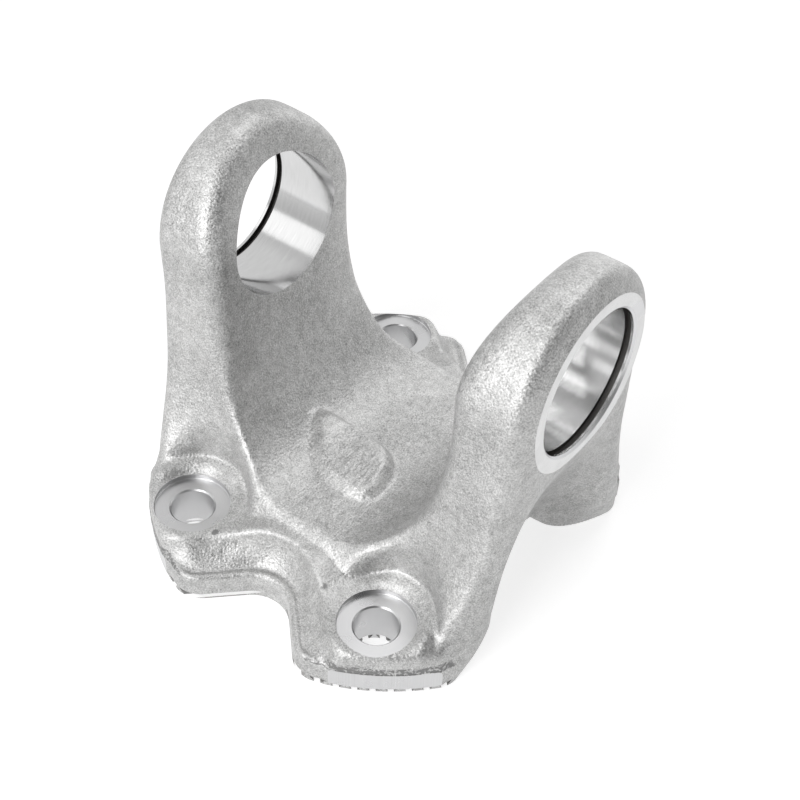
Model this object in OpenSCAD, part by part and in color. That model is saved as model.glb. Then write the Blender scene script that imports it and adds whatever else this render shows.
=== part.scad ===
// Drive flange: a forged yoke whose two ears hold a universal joint and whose
// foot is a four-lobed flange with cross serrations.
// The origin is the centre of the mating face, +Z points to the ears and +X
// runs along the axis of the ear bores.

/* [Joint ears] */
// Height of the bore axis above the mating face
bore_z = 107.8; // [100:0.1:125]
// Diameter of the bores that take the joint bearings
bore_d = 52; // [44:0.5:54]
// Distance over the machined outer faces of the ears
ear_span = 155.2; // [152:0.1:162]
// Clear width between the ears at the height of the bore axis
ear_gap = 97; // [88:0.5:102]
// Outer radius of the ring around each bore
ring_r = 38.2; // [36:0.1:42]
// Radius of the machined ring face around each bore
facing_r = 30.6; // [29:0.1:32]
// How far the inner faces lean outward from the bore axis to the crown
ear_lean = 6.5; // [3:0.5:8]
// Rounding of the inner edges along the flanks of the ears
inner_round = 8; // [6:0.5:10]
// Rounding of the inner edge at the crown of the ears
crown_round = 13; // [8:0.5:14]
// Width of the bevel around the outer faces, measured across an ear
bevel_w = 8.2; // [6:0.1:9]
// Depth of that bevel along the bore axis
bevel_x = 3.9; // [2.5:0.1:5]
// How far a ring face stands proud of the flat end below it
leg_draft = 6.6; // [4:0.1:12]
// Extra half width of a leg at its outer side
leg_spread = 3.5; // [0:0.5:5]

/* [Retaining ring grooves] */
// Distance from an outer face to its groove
groove_offset = 1.7; // [1.2:0.1:3]
// Width of a groove
groove_w = 2.5; // [1.5:0.1:3]
// Depth of a groove in the bore wall
groove_depth = 1.3; // [0.8:0.1:2]

/* [Saddle] */
// Height of the trough floor between the ears
floor_z = 28; // [26:0.5:34]
// Fullness of the trough's curve, 2 is an ellipse
trough_power = 2.9; // [2.2:0.1:3.4]
// Height where the flanks start to flare towards the flange
flare_z = 66; // [55:1:75]
// Spread of a flank at the mating face
flare_y = 34; // [26:1:36]
// Rounding of the edge along the ends of the trough
saddle_round = 5; // [3:0.5:8]
// Height of the swelling on the trough floor
swell_h = 5; // [2:0.5:7]
// Length of the swelling across the ears
swell_x = 27; // [20:1:30]
// Length of the swelling along the trough
swell_y = 20; // [14:1:24]

/* [Flange] */
// Width of the flange from the bolt circle out to the rim
rim_margin = 15; // [13:0.5:20]
// Thickness up to the flash line
rim_t = 9.5; // [8:0.5:11]
// Depth of the trimmed ledge above the turned rim
ledge_w = 2.7; // [2:0.1:4]
// Height of the raw bolt pads
pad_z = 20; // [19:0.5:23]
// Rounding of the pads towards the rim
pad_round = 4; // [3:0.5:6]
// Radius at the bottom of the hollows between the lobes
scallop_r = 14; // [10:0.5:16]
// How far that radius' centre lies inside the rim
scallop_in = 11; // [8:0.5:13]
// Rounding of the lobes' corners beside the hollows
corner_r = 6; // [3:0.5:8]
// Flare of the legs' inner corners at the flat ends
toe_flare = 17; // [8:1:18]

/* [Bolt holes] */
// Diameter of the circle through the bolt holes
bolt_circle = 150; // [148:0.5:152]
// Angle between the two holes of one end
bolt_angle = 70; // [68:1:72]
// Diameter of a bolt hole
hole_d = 16; // [12:0.5:18]
// Diameter of the spot face around a hole
spot_d = 28; // [24:0.5:30]
// Height of the spot faces above the mating face
spot_z = 18; // [16:0.5:18.5]
// Clear radius around a hole before the flank rises
pocket_r = 20.5; // [19:0.5:22]
// Height of the raw lip around a spot face
lip_h = 2.5; // [1:0.5:4]

/* [Arches under the ears] */
// Height of an arch on the outer face of an ear
arch_z = 73; // [60:1:74]
// Width of an arch on the outer face of an ear
arch_w = 76; // [66:1:78]
// Width of an arch at its inner end
arch_inner_w = 56; // [44:1:60]
// How far an arch runs into the recess of the mating face
arch_bite = 2; // [1:0.5:4]

/* [Serrated face] */
// Distance between neighbouring teeth
tooth_pitch = 6.2; // [5.5:0.1:7]
// Width of a tooth at its tip
tooth_tip = 2.3; // [1.8:0.1:2.8]
// Depth of the gaps between the teeth
tooth_depth = 2.3; // [1.5:0.1:2.6]
// Angle between the flanks of a gap
tooth_angle = 70; // [60:1:80]
// Diameter of the recess inside the toothed lobes
recess_d = 100; // [96:1:104]
// Depth of the recess inside the toothed lobes
recess_depth = 4; // [3:0.5:5]

/* [Hidden] */
face_x = ear_span / 2;
gap_x = ear_gap / 2;
bore_r = bore_d / 2;
flange_r = bolt_circle / 2 + rim_margin;
scallop_y = flange_r - scallop_in;
foot_x = face_x - leg_draft;
arch_x = recess_d / 2 - arch_bite;
hole_r = hole_d / 2;
hole_x = bolt_circle / 2 * sin(bolt_angle / 2);
hole_y = bolt_circle / 2 * cos(bolt_angle / 2);
// The forged body starts inside the rim, which it overlaps by this much
rim_bite = 2;
body_z = rim_t - rim_bite;
wall_r = flange_r - ledge_w;
// Height of the forged wall between the ledge and the rounded pad
wall_z = pad_z - pad_round;
wall_slope = 0.8;
// The outer face of an ear runs to its foot along a power curve
draft_power = 0.6;
// Heights between which the leg's extra spread dies out
leg_low_z = 50;
leg_high_z = 98;
// The toes' flare starts here and dies out above the flange
toe_x = arch_x + 6;
toe_z = rim_t + 10;
toe_power = 2.2;
// The arch is a squarish oval that rises outward along a power curve
arch_power = 3;
arch_rise = 0.85;
// Place of the swelling, which lies off the middle of the trough
swell_at = [-8, -17];
// The saddle's edge rounding grows to the ears' between these two stations
saddle_end_x = 12;
ear_start_x = 37;
// Softness of the bevel's inner crease, 0 is sharp
bevel_soft = 0.3;
// How full the swelling is: above 1 its top is flattened
swell_fullness = 1.35;
// Widths over which the lip around a spot face rises and dies out
lip_rise = 6;
lip_fade = 12;
facing_t = 4;
facing_skirt = 4;
overlap = 1;
round_fn = 96;
// Spacing of the loft: points and stations crowd where the surface turns
flank_crowding = 1.7;
pad_crowding = 1.3;
ring_crowding = 1.2;
first_station = 4.4;
leg_foot_share = 0.12;
// Number of steps in each stretch of a section
bottom_steps = 6;
wall_steps = 2;
pad_steps = 6;
flank_steps = 7;
crown_steps = 10;
trough_stations = 17;
ring_stations = 9;
foot_stations = 7;
outline_steps = 6;
// An arch's foot reaches its full width over this share of its length
arch_nose = 1 / 6;
tooth_top = tooth_pitch - tooth_tip;
tooth_root = tooth_top - 2 * tooth_depth * tan(tooth_angle / 2);
tooth_gaps_in = 2;
tooth_gaps_out = 7;

function clamp(v, low, high) = min(max(v, low), high);
function mix(a, b, t) = a + (b - a) * t;
function ease(t) = let (c = clamp(t, 0, 1)) c * c * (3 - 2 * c);

// Setback of an edge with radius r at a depth d under the face
function setback(d, r) =
    let (c = clamp(d, 0, r))
    r - sqrt(r * r - (r - c) * (r - c));

// Setback of the bevel around an outer face at a depth d under that face
function bevel(d) =
    let (t = 1 - d / bevel_x)
    bevel_w * (t + norm([t, bevel_soft])) / 2;

// Height of the trough at a distance x from the middle
function trough_z(x) =
    let (t = clamp(abs(x) / gap_x, 0, 1))
    bore_z - (bore_z - floor_z) * pow(1 - pow(t, trough_power), 1 / trough_power);

// Distance of the trough's wall from the middle at a height z
function trough_x(z) =
    let (t = clamp((bore_z - z) / (bore_z - floor_z), 0, 1))
    gap_x * pow(1 - pow(t, trough_power), 1 / trough_power);

// Outer face of an ear, which leans in towards its foot
function outer_x(z) =
    mix(foot_x, face_x, pow(clamp(z / bore_z, 0, 1), draft_power));

// Lowest height that the body reaches at a station
function low_z(x) =
    let (t = clamp((abs(x) - foot_x) / (face_x - foot_x), 0, 1))
    clamp(bore_z * pow(t, 1 / draft_power), body_z, bore_z - bevel_w);

// Hollow between two lobes: an arc at the bottom and sides at 45 degrees
function hollow_y(x, r) =
    abs(x) < r / sqrt(2) ? scallop_y - sqrt(r * r - x * x)
        : scallop_y - r * sqrt(2) + abs(x);

// Centre of the round between a hollow's side and a rim of radius r
function corner_at(rim, r) =
    let (k = scallop_y - r * sqrt(2) - corner_r * sqrt(2))
    let (x = (sqrt(2 * pow(rim - corner_r, 2) - k * k) - k) / 2)
    [x, x + k];

// Outline of the flange in Y for a rim radius and a hollow radius
function outline_y(x, rim, r) =
    let (c = corner_at(rim, r))
    let (from = c[0] - corner_r / sqrt(2))
    let (to = c[0] * rim / (rim - corner_r))
    abs(x) < from ? hollow_y(x, r)
        : abs(x) < to ? c[1] + sqrt(corner_r * corner_r - pow(abs(x) - c[0], 2))
        : sqrt(max(1, rim * rim - x * x));

// Distance of the forged wall of the flange from the middle plane
function wall_y(x) = outline_y(x, wall_r, scallop_r + overlap);

// Passes from 1 on the legs to 0 on the ring
function leg_share(z) = ease((leg_high_z - z) / (leg_high_z - leg_low_z));

// Flank of the body, kept clear of the bolt pads
function flank_y(x, z) =
    let (spread = ring_r + flare_y * pow(max(0, flare_z - z) / flare_z, 2)
                  + leg_spread * leg_share(z) * ease((abs(x) - gap_x) / (foot_x - gap_x)))
    let (d = abs(abs(x) - hole_x))
    let (pocket = d < pocket_r ? hole_y - sqrt(pocket_r * pocket_r - d * d) : spread)
    min(spread, max(ring_r, pocket), wall_y(min(abs(x), foot_x)) - 2 * wall_slope);

// Depth of a point under the inner surface of the ear or the trough
function inner_depth(x, z) =
    let (side = max(0, abs(x) - trough_x(z)))
    let (below = max(0, trough_z(x) - z))
    abs(x) >= gap_x ? side
        : z <= floor_z ? below
        : side + below == 0 ? 0
        : side * below / norm([side, below]);

function edge_round(x) =
    mix(saddle_round, inner_round,
        ease((abs(x) - saddle_end_x) / (ear_start_x - saddle_end_x)));

// Half the width of the body at a station and a height up to the bore axis
function half_width(x, z) =
    flank_y(x, z)
    - setback(inner_depth(x, z), edge_round(x))
    - bevel(max(0, outer_x(z) - abs(x)));

// Height of the bolt pad, with its rounded rim and its raised lip
function pad_height(x, y) =
    let (d = norm([abs(x) - hole_x, abs(y) - hole_y]))
    let (lip = lip_h * ease((d - spot_d / 2) / lip_rise) * ease((hole_y - abs(y)) / lip_fade))
    let (depth = clamp(wall_y(x) - wall_slope - abs(y), 0, pad_round))
    pad_z - setback(depth, pad_round) + lip;

// Swelling of the trough floor
function swell(x, y) =
    let (d = norm([(x - swell_at[0]) / swell_x, (y - swell_at[1]) / swell_y]))
    swell_h * ease(swell_fullness * (1 - d));

// Radius of the ear ring at a station and an angle above the bore axis
function crown_r(x, angle) =
    let (rise = pow(sin(angle), 2))
    ring_r
    - setback(abs(x) - gap_x - ear_lean * rise, mix(inner_round, crown_round, rise))
    - bevel(face_x - abs(x));

// Steepest angle that the ring reaches at a station
function crown_end(x) = asin(sqrt(clamp((abs(x) - gap_x) / ear_lean, 0, 1)));

// Place of a station between an arch's inner end and the outer face
function arch_t(x) = clamp((abs(x) - arch_x) / (outer_x(arch_z) - arch_x), 0, 1);
function arch_half(x) = mix(arch_inner_w, arch_w, pow(arch_t(x), 2)) / 2;
function arch_top(x) = max(low_z(x), arch_z * pow(arch_t(x), arch_rise));

// Extra width of the arch between the rounded toes of the legs
function toe_y(x, z) =
    toe_flare * pow(clamp((abs(x) - toe_x) / (foot_x - toe_x), 0, 1), toe_power)
    * pow(clamp(1 - z / toe_z, 0, 1), 2);

// One half of a section, from the bottom's middle to the top's middle
function bottom_part(x) =
    let (low = low_z(x))
    let (top = arch_top(x))
    let (last = top > low ? asin(pow(low / top, arch_power / 2)) : 0)
    let (reach = arch_half(x) * pow(cos(last), 2 / arch_power) + toe_y(x, low))
    let (fit = min(1, (half_width(x, low) - overlap) / reach))
    [for (i = [1:bottom_steps])
        let (a = mix(90, last, i / bottom_steps))
        let (z = top > low ? top * pow(sin(a), 2 / arch_power) : low)
        [fit * (arch_half(x) * pow(cos(a), 2 / arch_power) + toe_y(x, z)), max(low, z)]];

function foot_part(x) =
    let (edge = wall_y(x))
    let (foot = flank_y(x, pad_z))
    concat(
        [for (i = [0:wall_steps])
            [edge - wall_slope * i / wall_steps,
             mix(body_z, wall_z, i / wall_steps)]],
        [for (i = [1:pad_steps])
            let (y = mix(edge - wall_slope, foot, pow(i / pad_steps, pad_crowding)))
            [y, pad_height(x, y)]]);

function leg_part(x) =
    let (count = wall_steps + pad_steps)
    let (low = low_z(x))
    [for (i = [0:count])
        let (z = mix(low, bore_z, leg_foot_share * i / count))
        [half_width(x, z), z]];

function side_part(x) = abs(x) <= foot_x ? foot_part(x) : leg_part(x);

function flank_part(x, start) =
    let (top = abs(x) < gap_x ? trough_z(x) : bore_z)
    [for (i = [1:flank_steps])
        let (t = 1 - pow(1 - i / flank_steps, flank_crowding))
        let (z = mix(start, top, t))
        [half_width(x, z), z]];

// Top of a section: the trough's floor, or the ring above the bore axis
function top_part(x, corner, side) =
    let (last = crown_end(x))
    let (inner = crown_r(x, last))
    [for (i = [1:crown_steps])
        let (a = 90 * i / crown_steps)
        let (y = corner[0] * cos(a))
        let (r = crown_r(x, a))
        abs(x) < gap_x ? [y, corner[1] + swell(x, side * y)]
            : a <= last ? [r * cos(a), bore_z + r * sin(a)]
            : [inner * cos(a), bore_z + inner * sin(last)]];

function half_section(x, side) =
    let (lower = concat(bottom_part(x), side_part(x)))
    let (flank = flank_part(x, lower[len(lower) - 1][1]))
    concat(lower, flank, top_part(x, flank[len(flank) - 1], side));

// A closed section, counter-clockwise in the plane of Y and Z
function section(x) =
    let (right = half_section(x, 1))
    let (left = half_section(x, -1))
    let (count = len(right))
    concat(
        [[x, 0, arch_top(x)]],
        [for (p = right) [x, p[0], p[1]]],
        [for (i = [count - 2:-1:0]) [x, -left[i][0], left[i][1]]]);

// Stations from the middle outward: the trough, the ring and the drafted face
function stations() =
    concat(
        [0, first_station],
        [for (i = [1:trough_stations])
            gap_x * pow(sin(90 * i / trough_stations), 2 / trough_power)],
        [for (i = [1:ring_stations])
            mix(gap_x, foot_x, pow(i / ring_stations, ring_crowding))],
        [for (i = [1:foot_stations])
            mix(foot_x, face_x, 1 - pow(1 - i / foot_stations, pad_crowding))]);

// A fan of triangles between a closed section and the middle of its end face
function end_fan(first, size, middle, flip) =
    [for (i = [0:size - 1])
        let (a = first + i)
        let (b = first + (i + 1) % size)
        flip ? [b, a, middle] : [a, b, middle]];

module forged_body() {
    half = stations();
    last = len(half) - 1;
    xs = concat([for (i = [last:-1:1]) -half[i]], half);
    sections = [for (x = xs) section(x)];
    size = len(sections[0]);
    ends = len(sections) - 1;
    count = size * (ends + 1);
    points = concat([for (s = sections) each s],
                    [[xs[0], 0, bore_z], [xs[ends], 0, bore_z]]);
    sides = [for (k = [0:ends - 1])
        for (i = [0:size - 1])
            let (a = k * size + i)
            let (b = k * size + (i + 1) % size)
            each [[a, a + size, b], [b, a + size, b + size]]];
    faces = concat(end_fan(0, size, count, false), sides,
                   end_fan(ends * size, size, count + 1, true));
    polyhedron(points = points, faces = faces, convexity = 8);
}

// Half the outline of a hollow, out past the round of its corner
function hollow_half() =
    let (c = corner_at(flange_r, scallop_r))
    let (end = atan2(c[1], c[0]))
    concat(
        [for (i = [0:outline_steps])
            let (a = 45 * i / outline_steps)
            [scallop_r * sin(a), scallop_y - scallop_r * cos(a)]],
        [for (i = [0:outline_steps])
            let (a = mix(90 + 45, end, i / outline_steps))
            c + corner_r * [cos(a), sin(a)]],
        [c * (flange_r + overlap) / norm(c)]);

// Half the outline of an arch's foot, out past the flat end
function arch_foot_half() =
    [for (i = [0:2 * outline_steps])
        let (t = i / (2 * outline_steps))
        let (x = mix(arch_x, foot_x + overlap, t))
        let (start = sqrt(1 - pow(1 - min(1, t / arch_nose), 2)))
        [x, (arch_half(x) + toe_y(x, 0) - overlap) * start]];

function mirror_x(half) =
    concat([for (i = [len(half) - 1:-1:1]) [-half[i][0], half[i][1]]], half);
function mirror_y(half) =
    concat(half, [for (i = [len(half) - 1:-1:1]) [half[i][0], -half[i][1]]]);

// Outline of the turned rim with its hollows and the arches' feet
module rim_outline() {
    difference() {
        intersection() {
            circle(r = flange_r, $fn = round_fn);
            square([2 * foot_x + overlap, 2 * flange_r], center = true);
        }
        for (turn = [0, 180])
            rotate(turn) {
                polygon(concat(mirror_x(hollow_half()),
                               [[flange_r, flange_r], [-flange_r, flange_r]]));
                polygon(mirror_y(arch_foot_half()));
            }
    }
}

// One gap between teeth, open at the mating face and running outward
module tooth_gap() {
    mouth = tooth_top + 2 * overlap * tan(tooth_angle / 2);
    rotate([90, 0, 90])
        linear_extrude(height = flange_r)
            polygon([[-mouth / 2, -overlap], [mouth / 2, -overlap],
                     [tooth_root / 2, tooth_depth], [-tooth_root / 2, tooth_depth]]);
}

// The gaps of one lobe, parallel to the diagonal between the axes
module lobe_gaps() {
    rotate(45)
        for (i = [-tooth_gaps_in:tooth_gaps_out])
            translate([recess_d / 2 - overlap, (i + 0.5) * tooth_pitch, 0])
                tooth_gap();
}

module rim() {
    difference() {
        linear_extrude(height = rim_t)
            rim_outline();
        translate([0, 0, -overlap])
            cylinder(h = recess_depth + overlap, d = recess_d, $fn = round_fn);
        for (sx = [0, 1])
            for (sy = [0, 1])
                mirror([sx, 0, 0])
                    mirror([0, sy, 0])
                        lobe_gaps();
    }
}

// Machined ring face of one ear on a short raw skirt
module ring_face() {
    translate([face_x - facing_t, 0, bore_z])
        rotate([0, 90, 0])
            cylinder(h = facing_t, r1 = facing_r + facing_skirt, r2 = facing_r,
                     $fn = round_fn);
}

module bolt_cut() {
    translate([0, 0, -overlap])
        cylinder(h = pad_z + pad_z, r = hole_r, $fn = round_fn);
    translate([0, 0, spot_z])
        cylinder(h = pad_z, d = spot_d, $fn = round_fn);
}

module bore_cut() {
    translate([-face_x - overlap, 0, bore_z])
        rotate([0, 90, 0])
            cylinder(h = ear_span + 2 * overlap, d = bore_d, $fn = round_fn);
    for (turn = [0, 180])
        rotate([0, 0, turn])
            translate([face_x - groove_offset - groove_w, 0, bore_z])
                rotate([0, 90, 0])
                    cylinder(h = groove_w, r = bore_r + groove_depth, $fn = round_fn);
}

module yoke() {
    color("silver")
        difference() {
            union() {
                rim();
                forged_body();
                for (turn = [0, 180])
                    rotate([0, 0, turn])
                        ring_face();
            }
            bore_cut();
            for (sx = [-1, 1])
                for (sy = [-1, 1])
                    translate([sx * hole_x, sy * hole_y, 0])
                        bolt_cut();
        }
}

yoke();
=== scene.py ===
"""Looks of a forged drive flange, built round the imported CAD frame.

The raw forging is one implicit body: the distances to its faces are combined
with rounded unions and intersections on a grid, and a surface is drawn through
the result. Geometry Nodes make the repeated tools (the serrations of the
mating face and the bolt pattern), and the machined faces are then cut from the
forging as they are on the real one. Sizes of the part are in millimetres, and
those of the finishes and the studio are in metres, as their nodes read them.
"""

import logging
import math
from dataclasses import dataclass, field
from enum import Enum

import bmesh
import bpy
import numpy as np
from mathutils import Matrix, Vector


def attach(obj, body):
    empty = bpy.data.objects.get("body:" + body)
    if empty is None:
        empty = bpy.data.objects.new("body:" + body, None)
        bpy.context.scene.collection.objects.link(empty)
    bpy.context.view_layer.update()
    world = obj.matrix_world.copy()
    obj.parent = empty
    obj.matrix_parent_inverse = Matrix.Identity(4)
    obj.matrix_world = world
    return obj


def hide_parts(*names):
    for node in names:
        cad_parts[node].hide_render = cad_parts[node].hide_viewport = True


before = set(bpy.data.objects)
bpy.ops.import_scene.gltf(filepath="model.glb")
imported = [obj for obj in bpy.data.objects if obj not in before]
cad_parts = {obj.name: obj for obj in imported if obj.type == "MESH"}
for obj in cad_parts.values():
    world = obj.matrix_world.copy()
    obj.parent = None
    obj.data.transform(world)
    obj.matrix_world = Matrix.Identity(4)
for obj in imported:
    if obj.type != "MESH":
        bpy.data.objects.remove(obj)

log = logging.getLogger("drive_flange")
MM = 0.001
ROOT_TWO = math.sqrt(2.0)

# What keeps a divisor off zero.
SMALL = 1e-3
LEAST_SLOPE = 1e-4
TINY = 1e-6

# How close in mm a face's middle lies to the surface that a tool left, from
# flat ones to finely faceted ones, and how straight a flat face points.
HAIR = 0.01
CLOSE = 0.02
NEAR = 0.05
STRAIGHT = 0.99

Array = np.ndarray
Pair = tuple[float, float]
Point = tuple[float, float, float]
Socket = bpy.types.NodeSocket
Value = float | Socket


class Surface(Enum):
    """The surfaces of the part, in the order of its material slots."""

    RAW = 0
    TURNED = 1
    HONED = 2
    SAWN = 3
    FACED = 4
    GROOVED = 5


@dataclass(frozen=True)
class Datum:
    """Sizes that the forging, the machining and the finishes share."""

    bore_z: float = 107.8
    bore_r: float = 26.0
    face_x: float = 77.6
    hole: Pair = (43.018, 61.436)
    rim_r: float = 90.0


DATUM = Datum()


# ---------------------------------------------------------------- distances


def ease(t: Array) -> Array:
    """Smooth step from 0 to 1."""
    c = np.clip(t, 0.0, 1.0)
    return c * c * (3.0 - 2.0 * c)


@dataclass(frozen=True)
class Ramp:
    """A smooth change from 0 to 1, which runs backwards if its length is negative."""

    start: float
    length: float

    def at(self, place: Array) -> Array:
        """The share that is reached at a place."""
        return ease((place - self.start) / self.length)


def meet(a: Array, b: Array, radius: float | Array) -> Array:
    """Intersection of two bodies with a rounded edge.

    Args:
        a: Distance under the first body's surface, positive inside.
        b: The same for the second body.
        radius: Radius of the edge.

    Returns:
        The distance under the surface of what both share.
    """
    u = np.maximum(radius - a, 0.0)
    v = np.maximum(radius - b, 0.0)
    return np.maximum(radius, np.minimum(a, b)) - np.hypot(u, v)


def join(a: Array, b: Array, radius: float | Array) -> Array:
    """Union of two bodies with a fillet in the corner between them.

    Args:
        a: Distance under the first body's surface, positive inside.
        b: The same for the second body.
        radius: Radius of the fillet.

    Returns:
        The distance under the surface of both together.
    """
    return -meet(-a, -b, radius)


def evened(values: Array, step: float) -> Array:
    """A field divided by its own slope, which makes it a distance near zero."""
    gx, gy, gz = np.gradient(values, step)
    return values / np.sqrt(gx * gx + gy * gy + gz * gz + TINY)


def skin_of(values: Array, low: Array, step: float) -> tuple[Array, Array]:
    """Draws the surface where a field on a grid passes through zero.

    One point stands in each cell that the surface crosses, at the mean of the
    crossings on the cell's edges, and four cells round a crossed edge make a
    face.

    Args:
        values: The field, positive inside.
        low: Position of the first grid point.
        step: Distance between grid points.

    Returns:
        The points and the four-sided faces, which point outwards.
    """
    inside = values > 0.0
    shape = np.array(values.shape)
    cells = tuple(shape - 1)
    total = np.zeros(cells + (3,), np.float32)
    count = np.zeros(cells, np.int32)
    for axis in range(3):
        first = [slice(None)] * 3
        second = [slice(None)] * 3
        first[axis] = slice(0, -1)
        second[axis] = slice(1, None)
        a, b = values[tuple(first)], values[tuple(second)]
        crossed = inside[tuple(first)] != inside[tuple(second)]
        share = np.where(crossed, a / np.where(crossed, a - b, 1.0), 0.0)
        others = [k for k in range(3) if k != axis]
        for da in (0, 1):
            for db in (0, 1):
                part = [slice(None)] * 3
                for other, shift in zip(others, (da, db)):
                    part[other] = slice(shift, shape[other] - 1 + shift)
                hit = crossed[tuple(part)]
                count += hit
                total[..., axis] += np.where(hit, share[tuple(part)], 0.0)
                total[..., others[0]] += hit * da
                total[..., others[1]] += hit * db
    used = count > 0
    number = np.full(cells, -1, np.int64)
    number[used] = np.arange(used.sum())
    corner = np.argwhere(used).astype(np.float32)
    points = (corner + total[used] / count[used][:, None]) * step + low
    faces = []
    for axis in range(3):
        first = [slice(1, -1)] * 3
        second = [slice(1, -1)] * 3
        first[axis] = slice(0, -1)
        second[axis] = slice(1, None)
        a, b = inside[tuple(first)], inside[tuple(second)]
        i, j = (axis + 1) % 3, (axis + 2) % 3
        for leaving in (True, False):
            at = np.argwhere(a & ~b if leaving else b & ~a)
            for other in (i, j):
                at[:, other] += 1
            quad = []
            for di, dj in ((0, 0), (-1, 0), (-1, -1), (0, -1)):
                cell = at.copy()
                cell[:, i] += di
                cell[:, j] += dj
                quad.append(number[tuple(cell.T)])
            quad = np.stack(quad, axis=1)
            faces.append(quad if leaving else quad[:, ::-1])
    return points, np.concatenate(faces)


# ------------------------------------------------------------- the forging


@dataclass
class Forging:
    """The raw forging: ears, saddle, legs, arches and the lobed flange.

    x runs across the ears, y along the trough between them, and z up from the
    mating face. A Ramp says where a size changes. A body is the distance under
    its surface at each point of a grid, positive inside.
    """

    # The ears: rings, legs and their edges.
    bore_z: float = DATUM.bore_z
    face_x: float = DATUM.face_x
    foot_x: float = 71.0
    gap_x: float = 48.5
    ring_r: float = 38.2
    ear_lean: float = 6.5
    draft_power: float = 0.6
    draft_least: float = 0.01
    inner_round: float = 8.0
    crown_round: float = 12.0
    saddle_round: float = 2.6
    saddle_ramp: Ramp = Ramp(32.0, 60.0)
    flare_z: float = 66.0
    flare_y: float = 34.0
    leg_spread: float = 3.5
    leg_ramp: Ramp = Ramp(98.0, -48.0)
    bevel: Pair = (3.9, 8.2)
    bevel_stock: float = 0.25
    bevel_round: float = 3.0
    face_stock: float = 0.12
    face_round: float = 2.0

    # The raised rings that carry the ears' machined faces.
    facing_r: float = 30.6
    facing_spare: float = 0.2
    boss_r: float = 36.0
    boss_x: float = 66.0
    boss_stock: float = 1.0
    boss_round: float = 1.0
    boss_edge: float = 0.5
    boss_fillet: float = 2.5

    # The trough and the swelling on its floor.
    floor_z: float = 28.0
    floor_crown: float = 2.6
    floor_half: float = 49.0
    trough_power: float = 2.9
    swell_h: float = 5.8
    swell_fall: float = 0.09
    swell_corner: float = 10.0
    swell_slope: float = 6.6
    swell_most: float = 40.0
    swell_corners: tuple[Pair, ...] = (
        (-34.7, -4.8), (-4.9, 1.6), (11.9, -4.8), (17.0, -27.9), (11.5, -33.5), (-15.5, -30.0))

    # The flange's outline, with the hollows between the lobes.
    rim_r: float = DATUM.rim_r
    corner_r: float = 6.0
    end_round: float = 3.0
    scallop_r: float = 14.0
    scallop_y: float = 79.0
    lip_w: float = 4.4
    cove: float = 8.0
    land_cove: float = 3.2
    arc_start: Ramp = Ramp(23.5, 3.0)
    arc_end: Ramp = Ramp(51.5, -2.0)

    # The ledge at the flange's foot and the wall over it.
    rim_t: float = 9.8
    rim_relief: float = 1.0
    rim_stock: float = 1.5
    end_stock: float = 0.2
    bead: Point = (1.5, 1.5, 1.4)
    bead_ramp: Ramp = Ramp(38.0, -6.0)
    ledge_round: float = 0.8
    ledge_fillet: float = 1.4
    wall_r: float = 87.3
    wall_stock: float = 2.2
    wall_draft: float = 0.3

    # The pads, the land between them, and the collars round the bolt seats.
    pad_z: float = 20.0
    pad_fall: float = 1.6
    pad_ramp: Ramp = Ramp(83.0, 6.0)
    pad_round: Pair = (1.3, 0.7)
    pad_round_ramp: Ramp = Ramp(78.0, 6.0)
    land_rise: float = 5.0
    land_ramp: Ramp = Ramp(28.0, -18.0)
    hole: Pair = DATUM.hole
    seat_drop: float = 1.0
    seat_ramp: Ramp = Ramp(19.0, -4.0)
    seat_rim_ramp: Ramp = Ramp(86.0, -4.0)
    pocket_r: float = 20.5
    pocket_round: float = 3.5
    collar: Point = (3.0, 18.0, 3.9)
    collar_drop: float = 0.6
    collar_spare: float = 0.9
    collar_rounds: Pair = (2.4, 2.0)
    collar_x_ramp: Ramp = Ramp(-20.0, 16.0)
    collar_y_ramp: Ramp = Ramp(DATUM.hole[1] + 4.0, -9.0)
    collar_fillet: float = 2.2

    # How the ears run into the flange.
    ear_inset: float = 1.0
    ear_setback: float = 0.7
    foot_round: float = 1.0
    foot_ramp: Ramp = Ramp(24.0, 14.0)
    foot_edge: float = 3.0
    foot_fillet: float = 3.2

    # The arches under the ears, with the toes that widen them at their foot.
    arch_z: float = 73.0
    arch_x: float = 48.0
    arch_w: Pair = (56.0, 76.0)
    arch_least: float = 0.4
    arch_power: float = 0.85
    arch_curve: int = 3
    arch_past: float = 1.15
    arch_slopes: Pair = (3.2, 0.8)
    arch_round: float = 3.0
    toe_x: float = 6.0
    toe_w: float = 17.0
    toe_z: float = 20.0
    toe_power: float = 2.2
    toe_past: float = 1.1

    # The grid, and how its points settle on the surface.
    spans: tuple[Pair, Pair, Pair] = ((-80.0, 80.0), (-88.0, 88.0), (-3.0, 148.0))
    stock: float = 2.0
    step: float = 1.25
    margin: float = 4.0
    settle_turns: int = 2
    settle_share: float = 0.4
    settle_slope: float = 0.05
    low: Array = field(init=False, repr=False)
    grid: tuple[Array, Array, Array] = field(init=False, repr=False)

    def __post_init__(self) -> None:
        """Lays the grid out evenly round the middle of the part."""
        axes = [np.arange(a - self.margin, b + self.margin, self.step, dtype=np.float32)
                for a, b in self.spans]
        self.low = np.array([a[0] for a in axes])
        self.grid = (axes[0][:, None, None], axes[1][None, :, None], axes[2][None, None, :])

    def outer_x(self, z: Array) -> Array:
        """Distance of an ear's outer face from the middle at a height."""
        t = np.clip(z / self.bore_z, self.draft_least, 1.0) ** self.draft_power
        return self.foot_x + (self.face_x - self.foot_x) * t

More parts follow.
